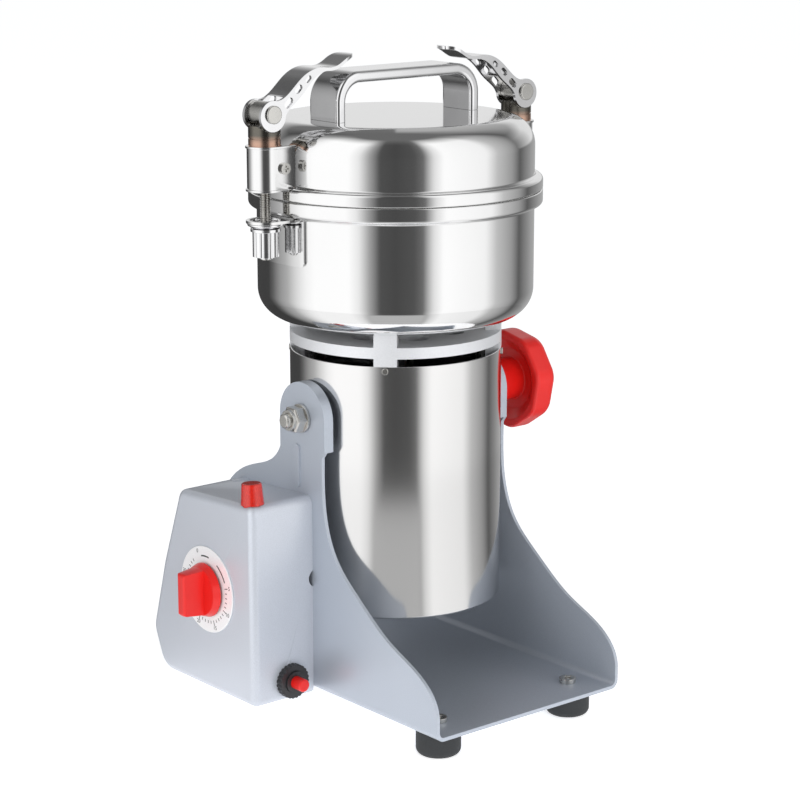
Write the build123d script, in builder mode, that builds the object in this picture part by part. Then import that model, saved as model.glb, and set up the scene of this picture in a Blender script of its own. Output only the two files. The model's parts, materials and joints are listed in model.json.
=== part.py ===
from build123d import *
import math
import os

# A small tilting hammer mill: a bowl with swinging hammers over a universal motor, hung between
# the two walls of a bent sheet stand, with a timer box on the left wall and a lid held by two
# lever latches. Millimetres, +Z up, +X to the right along the pivot axis, -Y to the front.
# The origin is on the floor, straight below the bowl's axis.

os.makedirs("parts", exist_ok=True)

# ---------------------------------------------------------------- driving dimensions
# stand
stand_half_width = 65.0
sheet = 2.0
foot_height = 15.5
foot_radius = 12.0
foot_x = 46.6
foot_front_y = -91.7
foot_back_y = 80.0
base_front = -112.0
base_back = 100.0
bend_radius = 5.0
arm_radius = 19.5
arm_rim_depth = 6.0
pivot_z = 166.7
pivot_radius = 4.0

# motor housing
housing_radius = 57.9
housing_wall = 1.0
housing_bottom = 58.8
housing_top = 198.0
shaft_radius = 5.0
bracket_tab_width = 12.3
bracket_band_bottom = 202.2
bracket_band_top = 208.2

# bowl and lid
bowl_radius = 75.0
bowl_bottom = 215.5
bowl_corner = 16.0
bead_radius = 79.5
bead_bottom = 277.0
parting_z = 285.0
bead_top = 292.0
lid_top = 324.0
lid_corner = 15.5
skin = 1.2
lid_gap = 0.3

# handle
handle_half_width = 49.0
handle_width = 25.0
handle_thickness = 6.0
handle_rise = 26.0
handle_corner = 16.0

# latches
latch_x = 87.3
latch_pin_z = 330.8
latch_pin_radius = 3.0
lever_half_width = 8.0
latch_pin_head_radius = 4.7
rod_eye_radius = 6.3
lever_sheet = 1.8
cam_radius = 8.0
cam_offset = 0.86
cam_clearance = 0.4
rod_radius = 2.5
rod_bottom = 255.0
barrel_radius = 9.3
barrel_wall = 1.0
barrel_bottom = 291.0
barrel_top = 314.5
saddle_radius = 8.4
saddle_bore = 2.9
saddle_height = 10.5
catch_half_width = 16.0
catch_bottom = 251.0
catch_sheet = 1.5
catch_end_radius = 10.2
nut_radius = 6.95
nut_lip_radius = 7.9
nut_height = 14.8
nut_lip = 1.6
nut_spigot_radius = 3.6
cup_radius = 9.5
cup_height = 2.6

# control box
box_depth = 40.0
box_skin = 1.5
box_front = -8.4
box_bottom = 13.4
box_height = 112.0
box_roll = 4.2
box_notch_z = 79.0
box_notch_radius = 5.2
dial_radius = 24.0
dial_y = 33.2
dial_z = 70.9
timer_knob_radius = 15.0
timer_knob_depth = 16.0
timer_grip_width = 9.6
spindle_radius = 3.0
lamp_gap = 33.3
lamp_radius = 6.3
lamp_height = 11.5
breaker_gap = 15.7
breaker_z = 24.7
breaker_ring_radius = 9.5
button_radius = 3.5
button_reach = 12.5

# lock knob
knob_radius = 29.4
knob_gap = 15.5
knob_depth = 16.5
knob_sides = 8
knob_turn = -11.0
knob_corner = 13.0
knob_hub_radius = 12.0
knob_dish_depth = 5.0
knob_dish_radius = 23.5

# milling rotor
blade_reach = 64.0
hammer_reach = 66.0
hammer_pin_reach = 33.0
hammer_thickness = 3.5
hammer_pin_radius = 3.0

# fits
running = 0.05
loose = 0.3
slip = 0.2

# ---------------------------------------------------------------- worked-out places
base_top = foot_height + sheet
wall_inside = stand_half_width - sheet
housing_inside = housing_radius - housing_wall
cam_bottom = latch_pin_z - cam_offset - cam_radius - cam_clearance
cradle_radius = cam_radius + 2.2
shelf_bottom = bead_bottom - 1.0 - catch_sheet - 0.1
cup_top = shelf_bottom - slip
nut_top = cup_top - cup_height - 0.1
box_outside = -stand_half_width - box_depth
breaker_x = -stand_half_width - breaker_gap
lamp_x = -stand_half_width - lamp_gap
knob_start = stand_half_width + knob_gap
bore_clearance_r = pivot_radius + running


# ---------------------------------------------------------------- shared shapes
def facing_x(x, y, z):
    """A plane through a point, facing right."""
    return Plane(origin=(x, y, z), x_dir=(0, 1, 0), z_dir=(1, 0, 0))


def facing_y(x, y, z):
    """A plane through a point, facing back."""
    return Plane(origin=(x, y, z), x_dir=(-1, 0, 0), z_dir=(0, 1, 0))


def facing_z(x, y, z):
    """A plane through a point, facing up."""
    return Plane(origin=(x, y, z))


def bar(plane, radius, length, mode=Mode.ADD):
    """A round bar that starts on a plane and runs along its normal."""
    with BuildSketch(plane) as section:
        Circle(radius)
    extrude(section.sketch, amount=length, mode=mode)


def tube(plane, outer, inner, length):
    """A round tube that starts on a plane and runs along its normal."""
    with BuildSketch(plane) as section:
        Circle(outer)
        Circle(inner, mode=Mode.SUBTRACT)
    extrude(section.sketch, amount=length)


def hexagon(plane, across_flats, bore, length):
    """A hexagonal nut blank that starts on a plane."""
    with BuildSketch(plane) as section:
        RegularPolygon(across_flats / 2, 6, major_radius=False)
        if bore > 0:
            Circle(bore, mode=Mode.SUBTRACT)
    extrude(section.sketch, amount=length)


def slab(plane, width, height, length, mode=Mode.ADD):
    """A rectangular bar that starts on a plane and runs along its normal."""
    with BuildSketch(plane) as section:
        Rectangle(width, height)
    extrude(section.sketch, amount=length, mode=mode)


def pan_screw(plane, head_radius, head_height, shank_radius, shank_length):
    """A cross-head screw: its head stands on the plane, its shank goes the other way."""
    bar(plane, head_radius, head_height)
    bar(plane, shank_radius, -shank_length)
    recess = plane.offset(head_height)
    slab(recess, head_radius * 1.1, head_radius * 0.3, -head_height * 0.45, Mode.SUBTRACT)
    slab(recess, head_radius * 0.3, head_radius * 1.1, -head_height * 0.45, Mode.SUBTRACT)


def save(piece, name):
    """Label a finished piece and write it as one STEP file."""
    piece.part.label = name
    export_step(piece.part, "parts/" + name + ".step")


# ---------------------------------------------------------------- stand
wall_top = pivot_z + arm_radius
rim_bottom = pivot_z - 16.0
neck_front = -17.2
neck_back = 19.5
foot_places = [(x, y) for x in (-foot_x, foot_x) for y in (foot_front_y, foot_back_y)]
foot_screw_radius = 2.5
box_screw_radius = 2.0
# The curves of the two cheeks, as places along the wall and heights for a rise of 132.2.
drawn_rise = 132.2
front_curve = (
    (-108.5, 22.3),
    (-96.0, 32.9),
    (-73.5, 43.1),
    (-47.0, 61.1),
    (-27.6, 78.6),
    (-19.6, 96.5),
    (neck_front, 114.5),
)
rear_curve = ((25.5, 124.6), (47.8, 115.5), (64.2, 105.8), (82.0, 76.5), (95.0, 34.5))


def stretched(curve):
    """The points of a curve on a wall, stretched to the height of its pivot."""
    stretch = (rim_bottom - 3 - foot_height) / drawn_rise
    return [(y, foot_height + rise * stretch) for y, rise in curve]


box_screw_places = [(-2.5, 50.0), (81.3, 40.0)] + stretched([(-2.5, 94.5), (52.0, 102.5)])

with BuildPart() as stand:
    with BuildSketch(Plane.XZ.offset(-base_back)) as channel:
        with Locations((0, foot_height)):
            Rectangle(2 * stand_half_width, wall_top - foot_height, align=(Align.CENTER, Align.MIN))
        with Locations((0, base_top)):
            Rectangle(2 * wall_inside, wall_top, align=(Align.CENTER, Align.MIN), mode=Mode.SUBTRACT)
        fillet(channel.vertices().group_by(Axis.Y)[0], bend_radius)
        fillet(channel.vertices().filter_by(lambda v: abs(v.Y - base_top) < 0.01), bend_radius - sheet)
    extrude(amount=base_back - base_front)
    # The side outline: a low front cheek that sweeps up into the arm, and a broad rear cheek.
    with BuildSketch(Plane.YZ.offset(-stand_half_width - 1)) as side_outline:
        with BuildLine():
            Line((base_back, foot_height), (base_front, foot_height))
            Line((base_front, foot_height), (base_front, foot_height + 8.5))
            Spline(
                (base_front, foot_height + 8.5),
                *stretched(front_curve),
                (neck_front, rim_bottom - 3),
            )
            Line((neck_front, rim_bottom - 3), (-arm_radius, rim_bottom))
            Line((-arm_radius, rim_bottom), (-arm_radius, pivot_z))
            ThreePointArc((-arm_radius, pivot_z), (0, wall_top), (arm_radius, pivot_z))
            Line((arm_radius, pivot_z), (neck_back, rim_bottom - 3))
            Spline(
                (neck_back, rim_bottom - 3),
                *stretched(rear_curve),
                (base_back, foot_height + 8.5),
            )
            Line((base_back, foot_height + 8.5), (base_back, foot_height))
        make_face()
    extrude(amount=2 * stand_half_width + 2, mode=Mode.INTERSECT)
    # Each arm is stiffened by an edge that turns inward.
    for start in (-stand_half_width, stand_half_width - arm_rim_depth):
        with BuildSketch(Plane.YZ.offset(start)) as rim:
            for reach, mode in ((arm_radius, Mode.ADD), (arm_radius - sheet, Mode.SUBTRACT)):
                with Locations((0, pivot_z)):
                    Circle(reach, mode=mode)
                with Locations((0, rim_bottom)):
                    Rectangle(2 * reach, pivot_z - rim_bottom, align=(Align.CENTER, Align.MIN), mode=mode)
        extrude(rim.sketch, amount=arm_rim_depth)
    # A short rib is pressed out of each arm below its pivot.
    for start, height in ((stand_half_width, 1.0), (-stand_half_width, -1.0)):
        with BuildSketch(Plane.YZ.offset(start)) as rib:
            with Locations((4.0, pivot_z - 27.0)):
                SlotOverall(24.0, 4.5, rotation=90)
        extrude(rib.sketch, amount=height)
    through = 2 * stand_half_width + 2
    bar(facing_x(-through / 2, 0, pivot_z), bore_clearance_r, through, Mode.SUBTRACT)
    for x, y in foot_places:
        bar(facing_z(x, y, foot_height), foot_screw_radius + 0.1, sheet, Mode.SUBTRACT)
    for y, z in box_screw_places:
        bar(facing_x(-stand_half_width, y, z), box_screw_radius + 0.1, sheet, Mode.SUBTRACT)
save(stand, "stand")

with BuildPart() as feet:
    for x, y in foot_places:
        bar(facing_z(x, y, 0), foot_radius, foot_height)
    fillet(feet.edges().group_by(Axis.Z)[0], 3.5)
    for x, y in foot_places:
        bar(facing_z(x, y, 4.0), foot_screw_radius + 0.1, foot_height, Mode.SUBTRACT)
save(feet, "feet")

with BuildPart() as foot_screws:
    for x, y in foot_places:
        pan_screw(facing_z(x, y, base_top), 4.6, 2.4, foot_screw_radius, foot_height + sheet - 5.5)
save(foot_screws, "foot_screws")

# ---------------------------------------------------------------- control box
box_top = box_bottom + box_height
top_fall = 3.8
top_back_y = 60.0
top_slope = math.atan2(top_fall, top_back_y - box_front)
lamp_plane = Plane(
    origin=(lamp_x, 0, box_top + box_front * math.tan(top_slope)),
    x_dir=(1, 0, 0),
    z_dir=(0, math.sin(top_slope), math.cos(top_slope)),
)
back_bend = Vector(0, 76.6, 77.0)
back_low = Vector(0, 88.5, 36.0)
back_run = back_low - back_bend
back_middle = back_bend + back_run * 0.5
gland_plane = Plane(
    origin=(-stand_half_width - box_depth / 2, back_middle.Y, back_middle.Z),
    x_dir=(1, 0, 0),
    z_dir=(0, -back_run.Z, back_run.Y),
)
gland_radius = 6.5
lamp_stem_radius = lamp_radius - 1.0
bush_radius = 6.0

with BuildPart() as control_box:
    with BuildSketch(Plane.YZ.offset(-stand_half_width)) as box_outline:
        with BuildLine():
            Polyline(
                (box_front, box_bottom),
                (box_front, box_top),
                (top_back_y, box_top - top_fall),
                (back_bend.Y, back_bend.Z),
                (back_low.Y, back_low.Z),
                (79.0, box_bottom),
                close=True,
            )
        make_face()
        corners = box_outline.vertices()
        fillet(corners.sort_by_distance((top_back_y, box_top - top_fall))[0], 6.0)
        fillet(box_outline.vertices().sort_by_distance((back_low.Y, back_low.Z))[0], 13.0)
        fillet(box_outline.vertices().sort_by_distance((79.0, box_bottom))[0], 12.0)
        fillet(box_outline.vertices().sort_by_distance((box_front, box_top))[0], 5.0)
        fillet(box_outline.vertices().sort_by_distance((box_front, box_bottom))[0], 4.0)
    extrude(amount=-box_depth)
    outer_face = control_box.faces().sort_by(Axis.X)[0]
    fillet(outer_face.edges(), box_roll)
    offset(amount=-box_skin, openings=control_box.faces().sort_by(Axis.X)[-1])
    # Screw bosses reach from the shell's corners to the stand's wall.
    for y, z in box_screw_places:
        bar(facing_x(-stand_half_width - 8.0, y, z), 5.0, 8.0)
    for y, z in box_screw_places:
        bar(facing_x(-stand_half_width - 7.5, y, z), box_screw_radius + 0.1, 7.5, Mode.SUBTRACT)
    bar(facing_x(box_outside, dial_y, dial_z), bush_radius + 0.1, box_skin + 0.5, Mode.SUBTRACT)
    bar(lamp_plane, lamp_stem_radius + 0.1, -box_skin - 1.0, Mode.SUBTRACT)
    bar(facing_y(breaker_x, box_front, breaker_z), bush_radius + 0.1, box_skin + 0.5, Mode.SUBTRACT)
    bar(gland_plane, gland_radius + 0.1, -box_skin - 1.0, Mode.SUBTRACT)
    # A small notch where the front meets the stand's wall.
    notch_line = facing_y(-stand_half_width + box_notch_radius / 2, box_front, box_notch_z)
    bar(notch_line, box_notch_radius, box_skin + 0.5, Mode.SUBTRACT)
save(control_box, "control_box")

with BuildPart() as box_screws:
    for y, z in box_screw_places:
        pan_screw(facing_x(-wall_inside, y, z), 3.6, 1.9, box_screw_radius, sheet + 6.5)
save(box_screws, "box_screws")

with BuildPart() as dial_plate:
    tube(facing_x(box_outside - 0.8, dial_y, dial_z), dial_radius, bush_radius + 0.1, 0.8)
save(dial_plate, "dial_plate")

with BuildPart() as timer_body:
    slab(facing_x(box_outside + box_skin, dial_y, dial_z), 38.0, 44.0, 24.0)
    bar(facing_x(box_outside - 1.6, dial_y, dial_z), bush_radius, box_skin + 1.6)
    bar(facing_x(box_outside - 2.0, dial_y, dial_z), spindle_radius + running, 24.0, Mode.SUBTRACT)
save(timer_body, "timer_body")

knob_face = box_outside - 2.0
with BuildPart() as timer_knob:
    # A round skirt with a tall grip bar across it.
    with BuildSketch(facing_x(knob_face, dial_y, dial_z)) as skirt:
        Circle(timer_knob_radius)
    extrude(skirt.sketch, amount=-4.0, taper=20)
    with BuildSketch(facing_x(knob_face - 4.0, dial_y, dial_z)) as grip:
        Circle(timer_knob_radius - 1.6)
        Rectangle(timer_grip_width, 2 * timer_knob_radius, mode=Mode.INTERSECT)
    extrude(grip.sketch, amount=-(timer_knob_depth - 4.0), taper=7)
    fillet(timer_knob.edges().group_by(Axis.X)[0], 2.0)
    bar(facing_x(knob_face, dial_y, dial_z), spindle_radius, 18.0)
save(timer_knob, "timer_knob")

with BuildPart() as pilot_lamp:
    with BuildSketch(lamp_plane) as lens:
        Circle(lamp_radius)
    extrude(lens.sketch, amount=lamp_height, taper=4.5)
    fillet(pilot_lamp.edges().group_by(Axis.Z)[-1], 0.8)
    bar(lamp_plane, lamp_stem_radius, -9.0)
save(pilot_lamp, "pilot_lamp")

breaker_face = box_front + box_skin
with BuildPart() as breaker_body:
    slab(facing_y(breaker_x, breaker_face, breaker_z + 1.6), 14.0, 16.0, 26.0)
    bar(facing_y(breaker_x, box_front - 5.0, breaker_z), bush_radius, 5.0 + box_skin)
    bar(facing_y(breaker_x, box_front - 5.5, breaker_z), button_radius + running, 16.0, Mode.SUBTRACT)
save(breaker_body, "breaker_body")

with BuildPart() as breaker_ring:
    with BuildSketch(facing_y(breaker_x, box_front - 4.0, breaker_z)) as knurl:
        Circle(breaker_ring_radius)
        with PolarLocations(breaker_ring_radius + 0.3, 24):
            Circle(0.75, mode=Mode.SUBTRACT)
        Circle(bush_radius + 0.05, mode=Mode.SUBTRACT)
    extrude(knurl.sketch, amount=4.0)
save(breaker_ring, "breaker_ring")

with BuildPart() as breaker_button:
    bar(facing_y(breaker_x, box_front - button_reach, breaker_z), button_radius, button_reach + 4.0)
    fillet(breaker_button.edges().group_by(Axis.Y)[0], 0.8)
save(breaker_button, "breaker_button")

with BuildPart() as cable_gland:
    bar(gland_plane.offset(-7.0), gland_radius, 7.0)
    bar(gland_plane.offset(-box_skin - 3.5), gland_radius + 2.5, 3.0)
    bar(gland_plane, gland_radius + 2.5, 2.5)
    with BuildSketch(gland_plane.offset(2.5)) as dome:
        Circle(gland_radius + 1.2)
    extrude(dome.sketch, amount=6.0, taper=14)
    bar(gland_plane.offset(9.0), 3.6, -17.0, Mode.SUBTRACT)
save(cable_gland, "cable_gland")

# ---------------------------------------------------------------- motor housing and brackets
boss_radius = 9.0
block_inner = housing_radius - 7.9
tab_angles = (45, 135, 225, 315)
housing_screw_z = housing_top - 2.4
housing_rivet_radius = 0.9
tie_rod_reach = housing_radius - 11.3
lower_plate_z = housing_bottom + 5.2
upper_bearing_z = bracket_band_top - 10.0
lower_bearing_z = lower_plate_z + 4.0
bearing_height = 7.0
bearing_radius = 13.0
tab_reach = housing_radius - 3.9
tab_depth = 9.0
vent_first = 14.0
vent_last = housing_radius - 13.9
fan_reach = housing_radius - 15.9
holder_start = 18.0
holder_end = housing_radius - 19.9


def radial(angle, reach, z):
    """A plane facing outward from the bowl's axis at an angle and a distance."""
    turn = math.radians(angle)
    out = Vector(math.cos(turn), math.sin(turn), 0)
    return Plane(
        origin=(out.X * reach, out.Y * reach, z), x_dir=(-out.Y, out.X, 0), z_dir=(out.X, out.Y, 0)
    )


with BuildPart() as housing:
    tube(facing_z(0, 0, housing_bottom), housing_radius, housing_inside, housing_top - housing_bottom)
    tube(facing_z(0, 0, housing_bottom), housing_inside + 0.2, housing_inside - 3.0, housing_wall)
    bar(facing_x(-housing_radius - 1, 0, pivot_z), boss_radius + 0.1, 2 * housing_radius + 2, Mode.SUBTRACT)
    for angle in tab_angles:
        rivet_line = radial(angle, housing_radius - 4, housing_screw_z)
        bar(rivet_line, housing_rivet_radius + slip, 6.0, Mode.SUBTRACT)
save(housing, "housing")

with BuildPart() as vent_cover:
    bar(facing_z(0, 0, housing_bottom + housing_wall + 0.1), housing_inside - 0.4, 1.2)
    for ring, count in enumerate((8, 14, 20, 26)):
        with PolarLocations(vent_first + ring * (vent_last - vent_first) / 3, count):
            Hole(2.2)
save(vent_cover, "vent_cover")

with BuildPart() as lower_bracket:
    bar(facing_z(0, 0, lower_plate_z), housing_inside - 0.2, 4.0)
    bar(facing_z(0, 0, lower_plate_z + 4.0), bearing_radius + 3.0, bearing_height + 0.6)
    for y in (-28.0, 28.0):
        slab(facing_z(0, y, lower_plate_z + 4.0), 14.0, 16.0, 11.0)
    bar(facing_z(0, 0, lower_bearing_z), bearing_radius + 0.02, bearing_height + 1.0, Mode.SUBTRACT)
    bar(facing_z(0, 0, lower_plate_z), shaft_radius + 2.0, 10.0, Mode.SUBTRACT)
    for angle in (0, 30, 60, 120, 150, 180, 210, 240, 300, 330):
        turn = math.radians(angle)
        hole_plane = facing_z(34.0 * math.cos(turn), 34.0 * math.sin(turn), lower_plate_z)
        if abs(math.sin(turn)) < 0.9:
            bar(hole_plane, 5.0, 4.0, Mode.SUBTRACT)
    for angle in tab_angles:
        turn = math.radians(angle)
        rod_plane = facing_z(tie_rod_reach * math.cos(turn), tie_rod_reach * math.sin(turn), lower_plate_z)
        bar(rod_plane, 2.1, 4.0, Mode.SUBTRACT)
save(lower_bracket, "lower_bracket")

with BuildPart() as upper_bracket:
    bar(facing_z(0, 0, bracket_band_bottom), housing_radius, bracket_band_top - bracket_band_bottom)
    seat_bottom = upper_bearing_z - 2.0
    bar(facing_z(0, 0, seat_bottom), bearing_radius + 4.0, bracket_band_top - seat_bottom)
    # Four tabs carry the bowl above the band and the housing below it.
    with BuildSketch(facing_z(0, 0, housing_top)) as tabs:
        with PolarLocations(tab_reach, 4, start_angle=45):
            Rectangle(tab_depth, bracket_tab_width)
        Circle(housing_radius, mode=Mode.INTERSECT)
    extrude(tabs.sketch, amount=bowl_bottom - housing_top)
    with BuildSketch(facing_z(0, 0, housing_top)) as skirts:
        with PolarLocations(tab_reach, 4, start_angle=45):
            Rectangle(tab_depth, bracket_tab_width)
        Circle(housing_inside - 0.1, mode=Mode.INTERSECT)
    extrude(skirts.sketch, amount=-12.0)
    with BuildSketch(facing_z(0, 0, bracket_band_top)) as windows:
        with PolarLocations(33.0, 8, start_angle=22.5):
            Circle(8.0)
    extrude(windows.sketch, amount=-12.0, mode=Mode.SUBTRACT)
    bar(facing_z(0, 0, upper_bearing_z), bearing_radius + 0.02, bearing_height + 4.0, Mode.SUBTRACT)
    bar(facing_z(0, 0, upper_bearing_z - 3.0), shaft_radius + 2.0, 8.0, Mode.SUBTRACT)
    for angle in tab_angles:
        turn = math.radians(angle)
        rivet_line = radial(angle, housing_radius - 7, housing_screw_z)
        bar(rivet_line, housing_rivet_radius + 0.05, 8.0, Mode.SUBTRACT)
        bolt_plane = facing_z(tab_reach * math.cos(turn), tab_reach * math.sin(turn), bowl_bottom)
        bar(bolt_plane, 2.1, -10.0, Mode.SUBTRACT)
save(upper_bracket, "upper_bracket")

with BuildPart() as housing_screws:
    for angle in tab_angles:
        bar(radial(angle, housing_radius + 0.05, housing_screw_z), 1.7, 0.9)
        bar(radial(angle, housing_radius + 0.05, housing_screw_z), housing_rivet_radius, -5.5)
save(housing_screws, "housing_screws")

with BuildPart() as tie_rods:
    for angle in tab_angles:
        turn = math.radians(angle)
        foot = facing_z(tie_rod_reach * math.cos(turn), tie_rod_reach * math.sin(turn), lower_plate_z)
        bar(foot, 2.0, bracket_band_bottom - lower_plate_z)
        bar(foot, 3.6, -2.0)
save(tie_rods, "tie_rods")

# ---------------------------------------------------------------- motor
stator_bottom = 100.0
stator_top = 148.0
rotor_radius = 29.5
commutator_radius = 14.0
commutator_z = 80.0

with BuildPart() as stator:
    tube(facing_z(0, 0, stator_bottom), tie_rod_reach - 2.2, rotor_radius + 0.8, stator_top - stator_bottom)
    for start in (stator_bottom - 8.0, stator_top):
        tube(facing_z(0, 0, start), tie_rod_reach - 5.0, rotor_radius + 1.5, 8.0)
save(stator, "stator")

with BuildPart() as armature:
    with BuildSketch(facing_z(0, 0, stator_bottom)) as lamination:
        Circle(rotor_radius)
        with PolarLocations(rotor_radius - 2.0, 16):
            Rectangle(6.0, 2.0, mode=Mode.SUBTRACT)
        Circle(shaft_radius, mode=Mode.SUBTRACT)
    extrude(lamination.sketch, amount=stator_top - stator_bottom)
    tube(facing_z(0, 0, stator_bottom - 5.0), rotor_radius - 5.0, shaft_radius, 5.0)
    tube(facing_z(0, 0, stator_top), rotor_radius - 5.0, shaft_radius, 7.0)
save(armature, "armature")

with BuildPart() as commutator:
    tube(facing_z(0, 0, commutator_z), commutator_radius, shaft_radius, stator_bottom - 5.0 - commutator_z)
save(commutator, "commutator")

brush_z = commutator_z + 5.0
with BuildPart() as brush_holders:
    for side in (-1, 1):
        front = facing_y(0, side * holder_start, brush_z)
        slab(front, 11.0, 12.0, side * (holder_end - holder_start))
        slab(front, 6.2, 8.2, side * (holder_end - holder_start), Mode.SUBTRACT)
        slab(facing_y(0, side * holder_end, brush_z), 11.0, 12.0, side * 2.0)
save(brush_holders, "brush_holders")

with BuildPart() as carbon_brushes:
    for side in (-1, 1):
        middle = side * (commutator_radius + 0.3 + 6.0)
        slab(facing_y(0, middle - 6.0, brush_z), 6.0, 8.0, 12.0)
save(carbon_brushes, "carbon_brushes")

with BuildPart() as cooling_fan:
    tube(facing_z(0, 0, 160.0), 13.0, shaft_radius, 12.0)
    tube(facing_z(0, 0, 160.0), fan_reach, 12.0, 1.6)
    for step in range(12):
        turn = math.radians(30.0 * step)
        blade = Plane(origin=(0, 0, 166.0), x_dir=(-math.sin(turn), math.cos(turn), 0),
                      z_dir=(math.cos(turn), math.sin(turn), 0))
        slab(blade.offset(12.0), 1.6, 12.0, fan_reach - 12.0)
save(cooling_fan, "cooling_fan")

blade_z = bowl_bottom + 10.5
carrier_z = blade_z + 14.0
hammer_z = carrier_z + 2.5 + 0.5
carrier_top_z = hammer_z + hammer_thickness + 0.5
rotor_stack_top = carrier_top_z + 2.5
shaft_bottom = lower_plate_z - 1.0

with BuildPart() as motor_shaft:
    bar(facing_z(0, 0, shaft_bottom), shaft_radius, rotor_stack_top + 7.0 - shaft_bottom)
save(motor_shaft, "motor_shaft")

with BuildPart() as bearings:
    for start in (upper_bearing_z, lower_bearing_z):
        tube(facing_z(0, 0, start), bearing_radius, shaft_radius + 0.03, bearing_height)
save(bearings, "bearings")

# ---------------------------------------------------------------- pivot and lock
with BuildPart() as trunnion_blocks:
    for side in (-1, 1):
        start = facing_x(side * block_inner, 0, pivot_z)
        bar(start, boss_radius, side * (wall_inside - slip - block_inner))
        bar(start, boss_radius + 5.0, side * 4.0)
        bar(start.offset(-side), pivot_radius + 0.02, side * (wall_inside - block_inner + 2.0), Mode.SUBTRACT)
save(trunnion_blocks, "trunnion_blocks")

washer_outer = -stand_half_width - slip - 1.6
with BuildPart() as pivot_washer:
    tube(facing_x(washer_outer, 0, pivot_z), 7.8, pivot_radius + running, 1.6)
save(pivot_washer, "pivot_washer")

with BuildPart() as pivot_nut:
    nut_face = facing_x(washer_outer, 0, pivot_z)
    hexagon(nut_face, 13.0, pivot_radius + 0.02, -6.0)
    chamfer(pivot_nut.edges().group_by(Axis.X)[0].filter_by(GeomType.LINE), 0.8)
    tube(nut_face.offset(-6.0), 5.6, pivot_radius + 0.02, -1.8)
save(pivot_nut, "pivot_nut")

with BuildPart() as pivot_bolts:
    # The left bolt takes the nut, and the right one is the lock knob's stud.
    for side, reach in ((-1, stand_half_width + 12.5), (1, stand_half_width + 21.0)):
        hexagon(facing_x(side * (block_inner - 3.5), 0, pivot_z), 13.0, 0, side * 3.5)
        bar(facing_x(side * block_inner, 0, pivot_z), pivot_radius, side * (reach - block_inner))
    chamfer(pivot_bolts.edges().group_by(Axis.X)[0], 0.8)
    chamfer(pivot_bolts.edges().group_by(Axis.X)[-1], 0.8)
save(pivot_bolts, "pivot_bolts")

with BuildPart() as lock_knob:
    with BuildSketch(facing_x(knob_start, 0, pivot_z)) as lobes:
        RegularPolygon(knob_radius, knob_sides, rotation=knob_turn)
        fillet(lobes.vertices(), knob_corner)
    extrude(lobes.sketch, amount=knob_depth)
    fillet(lock_knob.edges().group_by(Axis.X)[-1], 7.0)
    fillet(lock_knob.edges().group_by(Axis.X)[0], 2.0)
    # The side towards the wall is dished around a hub that clamps the arm.
    dish_floor = knob_start + knob_dish_depth
    with BuildSketch(Plane.XZ) as dish:
        with BuildLine():
            Polyline(
                (knob_start, pivot_z + knob_dish_radius),
                (dish_floor, pivot_z + knob_dish_radius - 6.0),
                (dish_floor, pivot_z),
                (knob_start, pivot_z),
                close=True,
            )
        make_face()
    revolve(dish.sketch, axis=Axis((0, 0, pivot_z), (1, 0, 0)), mode=Mode.SUBTRACT)
    hub_start = stand_half_width + slip
    bar(facing_x(hub_start, 0, pivot_z), knob_hub_radius, dish_floor - hub_start)
    bar(facing_x(stand_half_width, 0, pivot_z), pivot_radius + running, 23.0, Mode.SUBTRACT)
save(lock_knob, "lock_knob")

# ---------------------------------------------------------------- bowl
bowl_inside = bowl_radius - skin
seal_radius = 11.5

with BuildPart() as bowl:
    with BuildSketch(Plane.XZ) as bowl_section:
        with BuildLine():
            Line((0, bowl_bottom), (bowl_radius - bowl_corner, bowl_bottom))
            RadiusArc(
                (bowl_radius - bowl_corner, bowl_bottom),
                (bowl_radius, bowl_bottom + bowl_corner),
                -bowl_corner,
            )
            Line((bowl_radius, bowl_bottom + bowl_corner), (bowl_radius, bead_bottom - 1.0))
            Line((bowl_radius, bead_bottom - 1.0), (bead_radius, bead_bottom + 1.0))
            Line((bead_radius, bead_bottom + 1.0), (bead_radius, parting_z))
            Line((bead_radius, parting_z), (bowl_inside, parting_z))
            Line((bowl_inside, parting_z), (bowl_inside, bowl_bottom + bowl_corner))
            RadiusArc(
                (bowl_inside, bowl_bottom + bowl_corner),
                (bowl_radius - bowl_corner, bowl_bottom + skin),
                bowl_corner - skin,
            )
            Line((bowl_radius - bowl_corner, bowl_bottom + skin), (0, bowl_bottom + skin))
            Line((0, bowl_bottom + skin), (0, bowl_bottom))
        make_face()
    revolve(axis=Axis.Z)
    bead_edges = bowl.edges().filter_by(GeomType.CIRCLE).filter_by(
        lambda e: abs(e.radius - bead_radius) < 0.01 and e.center().Z < parting_z - 1
    )
    fillet(bead_edges, 2.0)
    bar(facing_z(0, 0, bowl_bottom - 1), seal_radius + 0.05, 4.0, Mode.SUBTRACT)
    for angle in tab_angles:
        turn = math.radians(angle)
        hole = facing_z(tab_reach * math.cos(turn), tab_reach * math.sin(turn), bowl_bottom - 1)
        bar(hole, 2.1, 4.0, Mode.SUBTRACT)
save(bowl, "bowl")

with BuildPart() as bowl_screws:
    for angle in tab_angles:
        turn = math.radians(angle)
        seat = facing_z(tab_reach * math.cos(turn), tab_reach * math.sin(turn), bowl_bottom + skin)
        pan_screw(seat, 3.8, 2.0, 2.0, 9.0)
save(bowl_screws, "bowl_screws")

with BuildPart() as shaft_seal:
    seal_height = bowl_bottom - bracket_band_top + skin
    tube(facing_z(0, 0, bracket_band_top), seal_radius, shaft_radius + 0.06, seal_height)
    tube(facing_z(0, 0, bowl_bottom + skin), seal_radius + 3.0, shaft_radius + 0.06, 1.8)
save(shaft_seal, "shaft_seal")

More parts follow.
